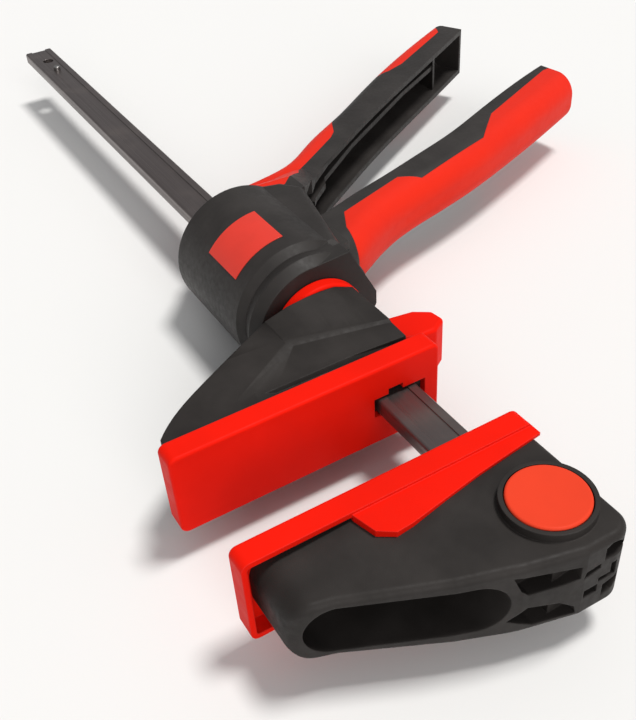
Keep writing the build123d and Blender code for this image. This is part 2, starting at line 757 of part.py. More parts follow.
def inlay_region():
    """The part of the handle's back that is covered with soft plastic."""
    last_x, last_y = inlay_outline[-1]
    far_x = last_x + 2 * beyond
    outline = [*inlay_outline, (far_x, last_y - beyond), (far_x, inlay_top_y)]
    return plan_prism(outline, -beyond, beyond)


def make_grip_inlay():
    """The soft insert let into the back of the grip."""
    skin = (grip_form(0, 0) + grip_root(0)) & inlay_region()
    skin -= grip_form(inlay_depth, beyond) + grip_root(inlay_depth)
    skin -= cylinder_x(guide_front_x, handle_rear_x + beyond, guide_radius + swivel_gap + inlay_bore_wall)
    return skin - past_end(grip_end_front, grip_end_rear, 0)


def grip_root(inset):
    """The grip's spread into the housing, or the same inset all round."""
    return loft([root_section(*section, inset) for section in grip_root_sections], ruled=True)


def make_grip_core():
    """The room inside the channel-shaped grip, less its rib and cross walls."""
    room = grip_form(grip_wall, beyond / 2)
    room &= block(100, 400, -300, grip_core_top_y, -beyond, beyond)
    room -= past_end(grip_end_front, grip_end_rear, grip_wall)
    room -= plan_prism(grip_rib_outline, grip_rib_low_z, grip_rib_low_z + grip_rib_thickness)
    recessed = lever_prism(
        moved_edge(grip_front_edge, cross_wall_recess), moved_edge(grip_rear_edge, 0), grip_half_width
    )
    for wall_y in grip_cross_walls:
        room -= block(100, 400, wall_y, wall_y + cross_wall_thickness, -beyond, beyond) & recessed
    return room


def make_handle_blank():
    """Drum, cheeks and grip in one moulding."""
    drum = turned([
        (groove_x, drum_front_radius), (drum_front_x, drum_radius), (drum_rear_x, drum_radius),
        (cone_mid_x, cone_mid_radius), (cone_low_x, cone_low_radius), (handle_rear_x, cone_end_radius),
    ])
    cheek = plan_prism(
        [(groove_x, 0), (groove_x, cheek_front_y), cheek_corner, cheek_rear, cheek_top, (cheek_top[0], 0)],
        -cheek_half_height, cheek_half_height,
    )
    broad = cheek.faces().filter_by(Axis.Z)
    rims = ShapeList([e for face in broad for e in face.edges() if e.center().Y < -15])
    cheek = fillet(rims, cheek_edge_radius) - side_grooves()
    boss = cylinder_x(retainer_rear_x + swivel_gap, chamber_front_x, retainer_radius)
    grip = grip_form(0, 0) - past_end(grip_end_front, grip_end_rear, 0)
    return drum + cheek + boss + grip + grip_root(0)


def label_sector(inner_radius, outer_radius):
    """A curved strip of the drum's wall where the label sits."""
    strip = cylinder_x(label_low_x, label_high_x, outer_radius) - cylinder_x(
        label_low_x - 1, label_high_x + 1, inner_radius
    )
    far = 2 * drum_radius
    low, high = radians(label_low_angle), radians(label_high_angle)
    wedge = cross_prism(
        [(0, 0), (far * cos(low), far * sin(low)), (far, far), (far * cos(high), far * sin(high))],
        label_low_x, label_high_x,
    )
    return strip & wedge


def make_label_plate():
    """The bare plate let into the drum."""
    return label_sector(drum_radius + label_proud - label_thickness, drum_radius + label_proud)


def make_handle_housing():
    """The handle moulding: hollow for the drive, slotted for the trigger, with a cored grip."""
    body = make_handle_blank()
    body -= cylinder_x(chamber_front_x, chamber_rear_x, chamber_radius)
    body -= cylinder_x(retainer_rear_x - 1, chamber_rear_x, neck_radius + swivel_gap)
    body -= cylinder_x(chamber_rear_x - 1, handle_rear_x + beyond, guide_radius + swivel_gap)
    body -= block(
        slot_front_x, slot_rear_x, -2 * beyond, 0, -trigger_slot_half_width, trigger_slot_half_width
    )
    body -= make_grip_core()
    body -= make_grip_inlay()
    body -= label_sector(drum_radius + label_proud - label_thickness, drum_radius + 1)
    return body - make_trigger_pins()


def make_trigger_pins():
    """The two short pins, one in each side wall of the housing, on which the trigger swings."""
    length = trigger_pin_end() - trigger_arm_low_z
    pins = []
    for side in (-1, 1):
        centre_z = side * (trigger_arm_low_z + length / 2)
        pins.append(Pos(trigger_pivot_x, trigger_pivot_y, centre_z) * Cylinder(trigger_pin_radius, length))
    return Compound(children=pins)


def trigger_pin_end():
    """How far from the middle plane a trigger pin reaches into the drum's wall."""
    return (chamber_radius ** 2 - trigger_pivot_y ** 2) ** 0.5 + trigger_pin_seat


def trigger_form(inset, rear_reach):
    """The trigger's outer form or, with an inset and a longer rear, the room inside it."""
    half_width = trigger_half_width - inset
    front = moved_edge(trigger_front_edge, inset / cos(radians(trigger_lean)))
    body = lever_prism(front, moved_edge(trigger_rear_edge, rear_reach), half_width)
    return fillet(long_edges(body, 0), trigger_front_radius - inset)


def soft_grip_region():
    """The part of the trigger that is covered with soft plastic."""
    last_x, last_y = soft_grip_outline[-1]
    outline = [*soft_grip_outline, (last_x, last_y - beyond), (100, last_y - beyond), (100, soft_grip_outline[0][1])]
    return plan_prism(outline, -beyond, beyond)


def make_trigger_grip():
    """The soft over-moulding on the front and the sides of the trigger."""
    skin = trigger_form(0, 0) - trigger_form(soft_grip_depth, beyond)
    return (skin & soft_grip_region()) - past_end(trigger_end_front, trigger_end_rear, 0)


def make_trigger_arm(side):
    """One arm of the trigger, with its pivot boss and the nose that pushes the disc."""
    nose_y = trigger_pivot_y - trigger_nose_drop
    pivot = (trigger_pivot_x, trigger_pivot_y)
    face = Pos(*pivot) * Circle(trigger_boss_radius) + Pos(trigger_pivot_x, nose_y) * Circle(trigger_nose_radius)
    face += Pos(trigger_pivot_x, (trigger_pivot_y + nose_y) / 2) * Rectangle(
        2 * trigger_boss_radius, trigger_nose_drop
    )
    foot = [
        (trigger_pivot_x - trigger_boss_radius, nose_y), (trigger_pivot_x + 1.6, nose_y),
        (trigger_pivot_x + 0.8, nose_y - 8), (trigger_pivot_x + 4, nose_y - 14),
        (trigger_shoulder_rear_x, trigger_shoulder_high_y), (trigger_shoulder_rear_x, trigger_shoulder_low_y),
        (trigger_pivot_x + 1.2, trigger_shoulder_low_y), (trigger_pivot_x - 3, nose_y - 9),
    ]
    face += make_face(Polyline(*foot, close=True))
    face -= Pos(*pivot) * Circle(trigger_pin_radius + trigger_pin_clearance)
    thickness = trigger_arm_high_z - trigger_arm_low_z
    low_z = trigger_arm_low_z if side > 0 else -trigger_arm_high_z
    return Pos(0, 0, low_z) * extrude(face, thickness)


def make_trigger():
    """The trigger: an open-backed lever with cross walls, a shoulder and two arms."""
    outer = trigger_form(0, 0) - past_end(trigger_end_front, trigger_end_rear, 0)
    room = trigger_form(trigger_wall, beyond)
    room &= block(100, 300, -300, trigger_shoulder_low_y, -beyond, beyond)
    room -= past_end(trigger_end_front, trigger_end_rear, trigger_wall)
    recessed = lever_prism(
        trigger_front_edge, moved_edge(trigger_rear_edge, -cross_wall_recess), trigger_half_width
    )
    for wall_y in trigger_cross_walls:
        room -= block(100, 300, wall_y, wall_y + cross_wall_thickness, -beyond, beyond) & recessed
    body = outer - room - make_trigger_grip()
    body += block(
        trigger_pivot_x + 1.2, trigger_shoulder_rear_x, trigger_shoulder_low_y, trigger_shoulder_high_y,
        -trigger_arm_high_z, trigger_arm_high_z,
    )
    for side in (-1, 1):
        body += make_trigger_arm(side)
    return body


def build_parts():
    """Make every piece, in the order in which the clamp goes together."""
    parts = {
        "rail": make_rail(),
        "stop_pin": make_stop_pin(),
        "fixed_jaw": make_fixed_jaw(),
        "fixed_pad": make_fixed_pad(),
        "release_button": make_button(),
        "latch_fork": make_latch(),
        "latch_spring": make_latch_spring(),
        "movable_jaw": make_moving_jaw(),
        "movable_pad": make_pad(opening, 1),
        "brake_plate": make_brake_plate(),
        "release_lever": make_release_lever(),
        "brake_cover": make_brake_cover(),
        "brake_spring": make_brake_spring(),
        "swivel_ring": make_swivel_ring(),
        "retaining_ring": make_retaining_ring(),
        "push_disc": make_push_disc(),
    }
    for index in range(plate_count):
        parts[f"drive_plate_{index + 1}"] = make_drive_plate(index)
    parts["drive_spring"] = make_drive_spring()
    parts["rear_guide"] = make_rear_guide()
    parts["front_collar"] = make_front_collar()
    parts["handle_housing"] = make_handle_housing()
    parts["grip_inlay"] = make_grip_inlay()
    parts["label_plate"] = make_label_plate()
    parts["trigger_pins"] = make_trigger_pins()
    parts["trigger"] = make_trigger()
    parts["trigger_grip"] = make_trigger_grip()
    return parts


os.makedirs("parts", exist_ok=True)
for name, shape in build_parts().items():
    export_step(shape, f"parts/{name}.step")
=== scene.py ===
"""Looks of the one-handed bar clamp: moving jaw, coils, finishes, table, light and camera.

Lengths are in metres where nothing else is said.
"""

import math

import bpy
from mathutils import Euler, Matrix, Vector


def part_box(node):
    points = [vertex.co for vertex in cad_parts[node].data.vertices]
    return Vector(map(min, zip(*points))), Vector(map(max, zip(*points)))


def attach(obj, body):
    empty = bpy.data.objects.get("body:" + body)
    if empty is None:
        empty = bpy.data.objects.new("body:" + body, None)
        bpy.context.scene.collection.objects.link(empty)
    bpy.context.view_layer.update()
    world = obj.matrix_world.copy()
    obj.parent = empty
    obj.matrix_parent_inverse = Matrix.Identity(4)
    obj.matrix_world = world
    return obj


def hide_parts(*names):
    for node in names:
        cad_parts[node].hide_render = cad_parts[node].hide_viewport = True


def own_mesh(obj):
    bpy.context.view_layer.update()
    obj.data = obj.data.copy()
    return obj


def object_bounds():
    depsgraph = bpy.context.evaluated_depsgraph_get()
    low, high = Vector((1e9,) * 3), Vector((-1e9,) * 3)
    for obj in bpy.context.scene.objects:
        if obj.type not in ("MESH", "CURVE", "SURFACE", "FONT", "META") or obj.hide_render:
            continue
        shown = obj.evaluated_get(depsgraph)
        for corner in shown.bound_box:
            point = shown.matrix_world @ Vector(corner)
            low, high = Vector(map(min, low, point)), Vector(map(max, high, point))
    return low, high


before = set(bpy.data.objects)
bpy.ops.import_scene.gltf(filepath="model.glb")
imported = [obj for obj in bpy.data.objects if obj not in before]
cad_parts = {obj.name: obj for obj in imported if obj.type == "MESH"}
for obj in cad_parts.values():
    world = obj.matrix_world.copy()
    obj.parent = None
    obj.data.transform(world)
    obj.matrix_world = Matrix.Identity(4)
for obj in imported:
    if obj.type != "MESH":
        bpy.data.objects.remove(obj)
cad_box = [list(corner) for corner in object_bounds()]

MM = 0.001

# The photograph's viewpoint in the clamp's own frame, its turn in degrees, and how near
# and far it sees.
CAMERA_PLACE = (-173.418 * MM, 146.972 * MM, 230.821 * MM)
CAMERA_TURN = (50.8652, 3.3365, -120.948)
CAMERA_NEAREST = 0.01
CAMERA_FARTHEST = 50.0

# The camera's sensor is in millimetres, the photograph in pixels.
SENSOR_WIDTH = 36.0
PHOTO_WIDTH = 636
PHOTO_FOCAL_PIXELS = 955.893

# The table that the clamp lies on.
FLOOR_SIZE = 60.0
FLOOR_MIDDLE_X = 0.1
FLOOR_GAP = 0.05 * MM
FLOOR_WHITE = (0.74, 0.738, 0.732)
FLOOR_ROUGHNESS = 0.85
FLOOR_SPECULAR = 0.2

# Light, at a level where a colour renders about as it is written. Softness is in degrees.
SKY_LEVEL = 0.34
SKY_COLOUR = (0.97, 0.98, 1.0)
KEY_LEVEL = 2.6
KEY_SOFTNESS = 14.0
KEY_FROM = (-0.10, -0.40, 1.30)
KEY_COLOUR = (1.0, 0.985, 0.96)
FILL_LEVEL = 1.45
FILL_SOFTNESS = 38.0
FILL_FROM = (-1.17, 0.25, 0.55)
FILL_COLOUR = (1.0, 0.99, 0.97)

# Colours of the real mouldings and steels, as linear values.
BLACK_MOULDING = (0.0200, 0.0174, 0.0162)
BLACK_WORN = (0.052, 0.046, 0.043)
RED_MOULDING = (0.78, 0.010, 0.003)
RED_BUTTON = (0.73, 0.054, 0.022)
RED_SOFT = (0.68, 0.021, 0.007)
RED_SOFT_DEEP = (0.58, 0.017, 0.009)
RED_FILM = (0.68, 0.034, 0.018)
BURNISHED_STEEL = (0.150, 0.128, 0.124)
BURNISHED_STREAK = (0.095, 0.080, 0.078)
BURNISHED_PATCH = (0.21, 0.175, 0.16)
BURNISHED_RUBBED = (0.34, 0.31, 0.30)
GROUND_STEEL = (0.34, 0.33, 0.32)
SPRING_STEEL = (0.26, 0.25, 0.25)

# The soft over-moulding's faint sheen.
SOFT_SHEEN = 0.06
SOFT_SHEEN_ROUGHNESS = 0.4

# How fine each pattern is, in blotches to the metre. The bar's streaks have a value for each axis.
BLACK_CLOUDS = 55.0
BLACK_RUBBED_PATCHES = 140.0
BLACK_GLOSS = 420.0
BLACK_RIPPLE = 90.0
RED_CLOUDS = 38.0
RED_GLOSS = 300.0
SOFT_CLOUDS = 30.0
SOFT_GLOSS = 260.0
SOFT_PEBBLES = 1500.0
SOFT_RIPPLE = 70.0
BAR_STREAKS = (14.0, 900.0, 900.0)
BAR_PATCHES = 60.0
STEEL_CLOUDS = 240.0
STEEL_GLOSS = 900.0
STEEL_GRAIN = 1600.0
FILM_CLOUDS = 120.0
FILM_GLOSS = 700.0
FILM_GRAIN = 2600.0

# The stretch of a pattern's values, from 0 to 1, over which its effect grows to full.
MOULDED_CLOUD_SPREAD = (0.35, 0.7)
STEEL_CLOUD_SPREAD = (0.4, 0.7)
FILM_CLOUD_SPREAD = (0.4, 0.7)
RUBBED_SPREAD = (0.38, 0.62)
STREAK_SPREAD = (0.42, 0.68)
PATCH_SPREAD = (0.5, 0.75)
GLOSS_SPREAD = (0.3, 0.7)

# The share of its rubbing that an edge keeps between the rubbed patches.
LEAST_RUBBED = 0.15

# The small radii on which edges catch the light, and how finely they are sampled.
MOULDED_EDGE = 0.6 * MM
BAR_EDGE = 0.4 * MM
STEEL_EDGE = 0.25 * MM
FILM_EDGE = 0.15 * MM
EDGE_SAMPLES = 6

# The cosine between the rounded surface and the flat face where an edge's rubbing is full,
# and where it ends.
EDGE_FULL = 0.72
EDGE_ENDS = 0.985

# Two faces that turn by less than this many degrees are shaded as one smooth surface.
JAW_SMOOTH_ANGLE = 10.0
COIL_SMOOTH_ANGLE = 50.0

# The moving jaw in millimetres: how far its broad faces stand from the rail's middle,
# how far towards the tip they start to taper, and by how much for each millimetre.
JAW_HALF_THICKNESS = 15.2
JAW_TAPER_START = 24.0
JAW_TAPER_SLOPE = 0.0531

# The jaw's sunken field between two sloped bands, in millimetres, on both broad faces.
# The outlines run from the rail's side to the tip, and the depths are those of the field's
# second to fourth corners.
FIELD_PLAN = ((49.0, -15.0), (64.6, -15.0), (74.2, 23.8), (60.4, 47.4), (49.0, 49.4))
BAND_PLAN = ((49.0, -15.0), (66.6, -15.0), (78.4, 25.0), (59.2, 58.2), (49.0, 61.0))
FIELD_DEPTHS = (0.75, 1.2, 1.2)

# The block that cuts the field passes through the bands' outline this many millimetres
# above the face, and ends at this many times that distance from the field.
ABOVE_FACE = 0.6
OVERSHOOT = 2.0

# The jaw's gap along the pad, in millimetres, on both broad faces: its outlines at its floor
# and above the face, and how far each stands from the rail's middle.
PAD_GAP_FLOOR_PLAN = ((48.7, -15.5), (55.2, -15.5), (57.3, 41.0), (48.7, 41.3))
PAD_GAP_TOP_PLAN = ((48.7, -15.5), (55.6, -15.5), (62.0, 58.0), (48.7, 60.0))
PAD_GAP_FLOOR = 11.6
PAD_GAP_TOP = 17.0

# Node, axis, wire in millimetres, turns, body, joint, and by how many millimetres
# the joint's whole travel squeezes it.
SPRINGS = (
    ("latch_spring", "Z", 1.0, 4, "button", "button_press", 4.0),
    ("brake_spring", "X", 0.6, 5, "carriage", "brake_release", 2.6),
    ("drive_spring", "X", 1.8, 6, "carriage", "drive_push", 4.5),
)

# The share of its node's room that a coil's turns take, and how finely they are made.
SLIMMER = 0.96
WIRE_SIDES = 12
TURN_STEPS = 40

# Points nearer than this many millimetres are one point.
MERGE_WITHIN = 0.001


def clear_selection():
    """Nothing stays selected, so the next operator acts on its own piece alone."""
    bpy.ops.object.select_all(action="DESELECT")
    bpy.context.view_layer.objects.active = None


def pick(piece):
    """Selects this piece alone for the next operator."""
    clear_selection()
    piece.select_set(True)
    bpy.context.view_layer.objects.active = piece


class Finish:
    """A material whose pattern follows the piece, with small steps to add detail."""

    def __init__(self, name, colour, roughness, metallic=0.0, specular=0.5):
        self.material = bpy.data.materials.new(name)
        self.material.use_nodes = True
        self.material.diffuse_color = (*colour, 1.0)
        self.nodes = self.material.node_tree.nodes
        self.links = self.material.node_tree.links
        self.shader = self.nodes["Principled BSDF"]
        self.shader.inputs["Base Color"].default_value = (*colour, 1.0)
        self.shader.inputs["Roughness"].default_value = roughness
        self.shader.inputs["Metallic"].default_value = metallic
        self.shader.inputs["Specular IOR Level"].default_value = specular
        self.place = self.nodes.new("ShaderNodeTexCoord").outputs["Object"]
        self.colour = None
        self.normal = None

    def stretched(self, scale):
        """The place on the piece, squeezed by its own factor along each axis."""
        mapping = self.nodes.new("ShaderNodeMapping")
        mapping.inputs["Scale"].default_value = scale
        self.links.new(self.place, mapping.inputs["Vector"])
        return mapping.outputs["Vector"]

    def noise(self, per_metre, detail=2.0, rough=0.5, place=None):
        """Cloudy pattern with this many blotches in a metre."""
        noise = self.nodes.new("ShaderNodeTexNoise")
        noise.inputs["Scale"].default_value = per_metre
        noise.inputs["Detail"].default_value = detail
        noise.inputs["Roughness"].default_value = rough
        self.links.new(place or self.place, noise.inputs["Vector"])
        return noise.outputs["Fac"]

    def ranged(self, value, given, wanted):
        """The value, spread from one range to another and held inside it."""
        ranger = self.nodes.new("ShaderNodeMapRange")
        for name, number in zip(("From Min", "From Max", "To Min", "To Max"), (*given, *wanted)):
            ranger.inputs[name].default_value = number
        self.links.new(value, ranger.inputs["Value"])
        return ranger.outputs["Result"]

    def shown(self, pattern, spread, most):
        """Where a pattern shows: nothing below the spread, and this much above it."""
        return self.ranged(pattern, spread, (0.0, most))

    def faded(self, mask, most):
        """The mask at this share of its strength."""
        return self.ranged(mask, (0.0, 1.0), (0.0, most))

    def times(self, first, second):
        """One mask held inside another."""
        product = self.nodes.new("ShaderNodeMath")
        product.operation = "MULTIPLY"
        self.links.new(first, product.inputs[0])
        self.links.new(second, product.inputs[1])
        return product.outputs["Value"]

    def tint(self, mask, colour):
        """Lays another colour over what is there, as strongly as the mask says."""
        mix = self.nodes.new("ShaderNodeMix")
        mix.data_type = "RGBA"
        self.links.new(mask, mix.inputs["Factor"])
        if self.colour is None:
            mix.inputs["A"].default_value = self.shader.inputs["Base Color"].default_value
        else:
            self.links.new(self.colour, mix.inputs["A"])
        mix.inputs["B"].default_value = (*colour, 1.0)
        self.colour = mix.outputs["Result"]
        self.links.new(self.colour, self.shader.inputs["Base Color"])

    def roughen(self, pattern, least, most):
        """Lets a pattern set how matt the surface is, between these roughnesses."""
        matt = self.ranged(pattern, GLOSS_SPREAD, (least, most))
        self.links.new(matt, self.shader.inputs["Roughness"])

    def round_edges(self, radius):
        """Edges catch the light on a small radius."""
        bevel = self.nodes.new("ShaderNodeBevel")
        bevel.samples = EDGE_SAMPLES
        bevel.inputs["Radius"].default_value = radius
        self.normal = bevel.outputs["Normal"]
        self.links.new(self.normal, self.shader.inputs["Normal"])
        return self.normal

    def edge_mask(self, radius):
        """Rounds the edges, and gives one along them and nothing on the faces."""
        soft = self.round_edges(radius)
        flat = self.nodes.new("ShaderNodeNewGeometry").outputs["Normal"]
        dot = self.nodes.new("ShaderNodeVectorMath")
        dot.operation = "DOT_PRODUCT"
        self.links.new(soft, dot.inputs[0])
        self.links.new(flat, dot.inputs[1])
        return self.ranged(dot.outputs["Value"], (EDGE_ENDS, EDGE_FULL), (0.0, 1.0))

    def bump(self, height, depth, strength=1.0):
        """Raises the surface by up to this depth."""
        bump = self.nodes.new("ShaderNodeBump")
        bump.inputs["Strength"].default_value = strength
        bump.inputs["Distance"].default_value = depth
        self.links.new(height, bump.inputs["Height"])
        if self.normal is not None:
            self.links.new(self.normal, bump.inputs["Normal"])
        self.normal = bump.outputs["Normal"]
        self.links.new(self.normal, self.shader.inputs["Normal"])


def darker(colour, factor):
    """The same hue, darker by this factor."""
    return tuple(factor * part for part in colour)


def paler(colour, kept=0.9, white=0.06):
    """The colour as rubbing leaves it: most of it kept, and a little white."""
    return tuple(min(1.0, kept * part + white) for part in colour)


def black_moulding(name, grain_per_metre, worn, gloss):
    """Glass-filled black plastic with the fine grain of a spark-eroded mould."""
    finish = Finish(name, BLACK_MOULDING, roughness=0.55, specular=gloss)
    edge = finish.edge_mask(MOULDED_EDGE)
    patches = finish.noise(BLACK_RUBBED_PATCHES, detail=4.0)
    rubbed = finish.times(edge, finish.ranged(patches, RUBBED_SPREAD, (LEAST_RUBBED, 1.0)))
    clouds = finish.noise(BLACK_CLOUDS, detail=3.0)
    finish.tint(finish.shown(clouds, MOULDED_CLOUD_SPREAD, most=0.35), BLACK_WORN)
    finish.tint(finish.faded(rubbed, most=worn), BLACK_WORN)
    finish.roughen(finish.noise(BLACK_GLOSS, detail=4.0), least=0.44, most=0.60)
    finish.bump(finish.noise(grain_per_metre, detail=3.0, rough=0.6), depth=0.035 * MM)
    finish.bump(finish.noise(BLACK_RIPPLE), depth=0.10 * MM, strength=0.5)
    return finish.material


def red_moulding(name, colour, roughness, grain_per_metre, grain_depth):
    """Red plastic: a fine grain, faint flow clouds and paler rubbed edges."""
    finish = Finish(name, colour, roughness, specular=0.04)
    edge = finish.edge_mask(MOULDED_EDGE)
    clouds = finish.noise(RED_CLOUDS, detail=3.0)
    gloss = finish.noise(RED_GLOSS, detail=4.0)
    finish.tint(finish.shown(clouds, MOULDED_CLOUD_SPREAD, most=0.6), darker(colour, 0.86))
    finish.tint(finish.faded(edge, most=0.35), paler(colour))
    finish.roughen(gloss, least=roughness - 0.05, most=roughness + 0.07)
    finish.bump(finish.noise(grain_per_metre, detail=3.0, rough=0.6), grain_depth)
    return finish.material


def soft_grip_moulding(name):
    """Soft over-moulding: matt, faintly sheeny, with a pebbled touch."""
    finish = Finish(name, RED_SOFT, roughness=0.62, specular=0.08)
    finish.shader.inputs["Sheen Weight"].default_value = SOFT_SHEEN
    finish.shader.inputs["Sheen Roughness"].default_value = SOFT_SHEEN_ROUGHNESS
    finish.round_edges(MOULDED_EDGE)
    clouds = finish.noise(SOFT_CLOUDS, detail=3.0)
    finish.tint(finish.shown(clouds, MOULDED_CLOUD_SPREAD, most=0.5), RED_SOFT_DEEP)
    finish.roughen(finish.noise(SOFT_GLOSS, detail=4.0), least=0.56, most=0.70)
    finish.bump(finish.noise(SOFT_PEBBLES, rough=0.55), depth=0.05 * MM)
    finish.bump(finish.noise(SOFT_RIPPLE), depth=0.12 * MM, strength=0.5)
    return finish.material


def burnished_bar(name):
    """Drawn and burnished steel: streaks along the bar, brown-grey and satin."""
    finish = Finish(name, BURNISHED_STEEL, roughness=0.42, metallic=0.85)
    edge = finish.edge_mask(BAR_EDGE)
    drawn = finish.noise(1.0, detail=4.0, rough=0.6, place=finish.stretched(BAR_STREAKS))
    patches = finish.noise(BAR_PATCHES, detail=4.0)
    finish.tint(finish.shown(drawn, STREAK_SPREAD, most=0.55), BURNISHED_STREAK)
    finish.tint(finish.shown(patches, PATCH_SPREAD, most=0.5), BURNISHED_PATCH)
    finish.tint(finish.faded(edge, most=0.5), BURNISHED_RUBBED)
    finish.roughen(drawn, least=0.27, most=0.42)
    finish.bump(drawn, depth=0.02 * MM)
    return finish.material


def bright_steel(name, colour, roughness):
    """Ground or drawn steel of the inner works."""
    finish = Finish(name, colour, roughness, metallic=1.0)
    finish.round_edges(STEEL_EDGE)
    clouds = finish.noise(STEEL_CLOUDS, detail=4.0)
    gloss = finish.noise(STEEL_GLOSS, detail=3.0)
    finish.tint(finish.shown(clouds, STEEL_CLOUD_SPREAD, most=0.5), darker(colour, 0.7))
    finish.roughen(gloss, least=roughness - 0.06, most=roughness + 0.08)
    finish.bump(finish.noise(STEEL_GRAIN), depth=0.01 * MM)
    return finish.material


def label_sheet(name):
    """The bare red plate on the drum: a smoother film than the mouldings."""
    finish = Finish(name, RED_FILM, roughness=0.34, specular=0.5)
    finish.round_edges(FILM_EDGE)
    clouds = finish.noise(FILM_CLOUDS, detail=3.0)
    finish.tint(finish.shown(clouds, FILM_CLOUD_SPREAD, most=0.4), darker(RED_FILM, 0.88))
    finish.roughen(finish.noise(FILM_GLOSS, detail=3.0), least=0.30, most=0.42)
    finish.bump(finish.noise(FILM_GRAIN), depth=0.008 * MM)
    return finish.material


def jaw_face(y):
    """How far the moving jaw's broad face stands from the rail's middle, in millimetres."""
    return JAW_HALF_THICKNESS - JAW_TAPER_SLOPE * max(0.0, y - JAW_TAPER_START)


def field_plane():
    """A point on the sunken field and its normal, from the depths at three of its corners."""
    corners = [Vector((x, y, jaw_face(y) - depth))
               for (x, y), depth in zip(FIELD_PLAN[1:4], FIELD_DEPTHS)]
    return corners[0], (corners[1] - corners[0]).cross(corners[2] - corners[0])


def cutter(name, floor, top):
    """A block between two outlines of equally many points, in millimetres, to cut the jaw with."""
    clear_selection()
    bpy.ops.mesh.primitive_cylinder_add(vertices=len(floor))
    block = bpy.context.object
    block.name = name
    low = [vertex for vertex in block.data.vertices if vertex.co.z < 0]
    high = [vertex for vertex in block.data.vertices if vertex.co.z > 0]
    for vertex, place in zip(low + high, (*floor, *top)):
        vertex.co = place
    bpy.ops.object.mode_set(mode="EDIT")
    bpy.ops.mesh.select_all(action="SELECT")
    bpy.ops.mesh.quads_convert_to_tris(quad_method="FIXED", ngon_method="BEAUTY")
    bpy.ops.mesh.normals_make_consistent(inside=False)
    bpy.ops.object.mode_set(mode="OBJECT")
    clear_selection()
    return block


def field_cutter(side):
    """The block that sinks the field on one broad face and slopes the bands beside it."""
    on_field, normal = field_plane()
    floor = [(x, y, side * (on_field.z - (normal.x * (x - on_field.x)
                                          + normal.y * (y - on_field.y)) / normal.z))
             for x, y in FIELD_PLAN]
    band = [(x, y, side * (jaw_face(y) + ABOVE_FACE)) for x, y in BAND_PLAN]
    top = [Vector(low).lerp(Vector(high), OVERSHOOT) for low, high in zip(floor, band)]
    return cutter("field_cut", floor, top)


def pad_gap_cutter(side):
    """The block that opens the gap along the pad on one broad face."""
    floor = [(x, y, side * PAD_GAP_FLOOR) for x, y in PAD_GAP_FLOOR_PLAN]
    top = [(x, y, side * PAD_GAP_TOP) for x, y in PAD_GAP_TOP_PLAN]
    return cutter("pad_gap_cut", floor, top)


def cut_away(piece, block):
    """Takes the block out of the piece and throws the block away."""
    pick(piece)
    cut = piece.modifiers.new("cut", "BOOLEAN")
    cut.operation = "DIFFERENCE"
    cut.solver = "EXACT"
    cut.object = block
    bpy.ops.object.modifier_apply(modifier=cut.name)
    clear_selection()
    bpy.data.objects.remove(block)


def make_moving_jaw():
    """The moving jaw's moulding with its fields and gaps, cut while it is in millimetres."""
    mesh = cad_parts["movable_jaw"].data.copy()
    mesh.transform(Matrix.Scale(1 / MM, 4))
    piece = bpy.data.objects.new("moving_jaw_moulding", mesh)
    bpy.context.scene.collection.objects.link(piece)
    pick(piece)
    bpy.ops.object.mode_set(mode="EDIT")
    bpy.ops.mesh.select_all(action="SELECT")
    bpy.ops.mesh.remove_doubles(threshold=MERGE_WITHIN)
    bpy.ops.object.mode_set(mode="OBJECT")
    for side in (1, -1):
        cut_away(piece, field_cutter(side))
        cut_away(piece, pad_gap_cutter(side))
    piece.data.transform(Matrix.Scale(MM, 4))
    pick(piece)
    bpy.ops.object.shade_smooth_by_angle(angle=math.radians(JAW_SMOOTH_ANGLE))
    clear_selection()
    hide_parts("movable_jaw")
    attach(piece, "carriage")
    return piece


def make_spring(node, axis, wire, turns, body, joint, squeeze):
    """A compression coil in its node's place, wound along the rail or upright."""
    low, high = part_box(node)
    along = Vector((1, 0, 0)) if axis == "X" else Vector((0, 0, 1))
    middle = (low + high) / 2
    length = (high - low).dot(along)
    wire_radius = wire / 2 * MM
    radius = SLIMMER * ((high.y - low.y) / 2 - wire_radius)
    clear_selection()
    bpy.ops.mesh.primitive_circle_add(
        vertices=WIRE_SIDES, radius=wire_radius, rotation=(math.pi / 2, 0, 0),
        location=(radius, 0, (wire * MM - length) / 2),
    )
    coil = bpy.context.object
    coil.name = node.replace("spring", "coil")
    bpy.ops.object.transform_apply(location=True, rotation=True, scale=True)
    screw = coil.modifiers.new("turns", "SCREW")
    screw.axis = "Z"
    screw.angle = 2 * math.pi
    screw.iterations = turns
    screw.screw_offset = (length - wire * MM) / turns
    screw.steps = screw.render_steps = TURN_STEPS
    bpy.ops.object.modifier_apply(modifier=screw.name)
    bpy.ops.object.mode_set(mode="EDIT")
    bpy.ops.mesh.select_all(action="SELECT")
    bpy.ops.mesh.remove_doubles(threshold=MERGE_WITHIN * MM)
    bpy.ops.mesh.fill_holes(sides=0)
    bpy.ops.mesh.normals_make_consistent(inside=False)
    bpy.ops.object.mode_set(mode="OBJECT")
    bpy.ops.object.shade_smooth_by_angle(angle=math.radians(COIL_SMOOTH_ANGLE))
    if axis == "X":
        coil.rotation_euler = (0, math.pi / 2, 0)
    coil.location = middle
    bpy.ops.object.transform_apply(location=True, rotation=True, scale=True)
    clear_selection()
    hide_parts(node)
    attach(coil, body)
    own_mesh(coil)
    return coil


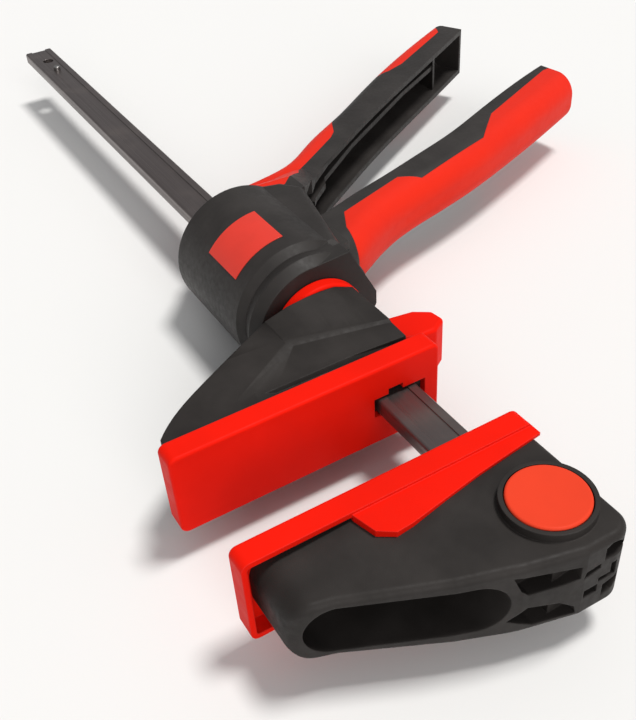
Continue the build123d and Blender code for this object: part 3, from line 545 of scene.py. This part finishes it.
def dress_clamp(moving_jaw, coils):
    """Gives each piece of the clamp its finish, by what it is made of."""
    bar = burnished_bar("bar_burnished")
    plates = bright_steel("plate_ground", GROUND_STEEL, roughness=0.34)
    wire = bright_steel("spring_wire", SPRING_STEEL, roughness=0.30)
    jaws = black_moulding("jaw_black", grain_per_metre=2300.0, worn=0.55, gloss=0.13)
    handle = black_moulding("handle_black", grain_per_metre=2600.0, worn=0.45, gloss=0.24)
    pads = red_moulding("pad_red", RED_MOULDING, roughness=0.44,
                        grain_per_metre=2100.0, grain_depth=0.030 * MM)
    button = red_moulding("button_red", RED_BUTTON, roughness=0.36,
                          grain_per_metre=2900.0, grain_depth=0.014 * MM)
    grip = soft_grip_moulding("grip_red")
    film = label_sheet("label_red")
    finishes = {
        "rail": bar,
        "stop_pin": plates, "latch_fork": plates, "brake_plate": plates,
        "retaining_ring": plates, "drive_plate_1": plates, "drive_plate_2": plates,
        "drive_plate_3": plates, "push_disc": plates, "trigger_pins": plates,
        "fixed_jaw": jaws, "rear_guide": jaws,
        "front_collar": handle, "handle_housing": handle, "trigger": handle,
        "fixed_pad": pads, "movable_pad": pads, "brake_cover": pads,
        "release_lever": pads, "swivel_ring": pads,
        "release_button": button,
        "grip_inlay": grip, "trigger_grip": grip,
        "label_plate": film,
    }
    for node, finish in finishes.items():
        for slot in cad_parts[node].material_slots:
            slot.material = finish
    for slot in moving_jaw.material_slots:
        slot.material = jaws
    for coil in coils:
        coil.data.materials.append(wire)


def lay_floor():
    """The pale table under the clamp."""
    lowest = cad_box[0][2]
    clear_selection()
    bpy.ops.mesh.primitive_plane_add(
        size=FLOOR_SIZE, location=(FLOOR_MIDDLE_X, 0, lowest - FLOOR_GAP),
    )
    floor = bpy.context.object
    floor.name = "table"
    clear_selection()
    material = bpy.data.materials.new("table_white")
    material.use_nodes = True
    shader = material.node_tree.nodes["Principled BSDF"]
    shader.inputs["Base Color"].default_value = (*FLOOR_WHITE, 1.0)
    shader.inputs["Roughness"].default_value = FLOOR_ROUGHNESS
    shader.inputs["Specular IOR Level"].default_value = FLOOR_SPECULAR
    floor.data.materials.append(material)


def far_light(name, direction, softness, level, colour):
    """A large soft lamp, far away in this direction, that lights everything alike."""
    data = bpy.data.lights.new(name, "SUN")
    data.angle = math.radians(softness)
    data.energy = level
    data.color = colour
    lamp = bpy.data.objects.new(name, data)
    bpy.context.scene.collection.objects.link(lamp)
    lamp.rotation_euler = Vector(direction).to_track_quat("Z", "Y").to_euler()


def light_studio():
    """Soft light from above, a little behind the clamp, with a dim fill on the near side."""
    world = bpy.data.worlds.new("studio")
    bpy.context.scene.world = world
    world.use_nodes = True
    background = world.node_tree.nodes["Background"]
    background.inputs["Color"].default_value = (*SKY_COLOUR, 1.0)
    background.inputs["Strength"].default_value = SKY_LEVEL
    far_light("key", KEY_FROM, KEY_SOFTNESS, KEY_LEVEL, KEY_COLOUR)
    far_light("fill", FILL_FROM, FILL_SOFTNESS, FILL_LEVEL, FILL_COLOUR)


def set_camera():
    """The photograph's viewpoint."""
    data = bpy.data.cameras.new("camera")
    data.sensor_fit = "HORIZONTAL"
    data.sensor_width = SENSOR_WIDTH
    data.lens = PHOTO_FOCAL_PIXELS / PHOTO_WIDTH * SENSOR_WIDTH
    data.clip_start = CAMERA_NEAREST
    data.clip_end = CAMERA_FARTHEST
    camera = bpy.data.objects.new("camera", data)
    bpy.context.scene.collection.objects.link(camera)
    camera.location = CAMERA_PLACE
    camera.rotation_euler = Euler([math.radians(angle) for angle in CAMERA_TURN], "XYZ")
    bpy.context.scene.camera = camera


bpy.context.scene.view_settings.view_transform = "Standard"
set_camera()
light_studio()
lay_floor()
dress_clamp(make_moving_jaw(), [make_spring(*facts) for facts in SPRINGS])
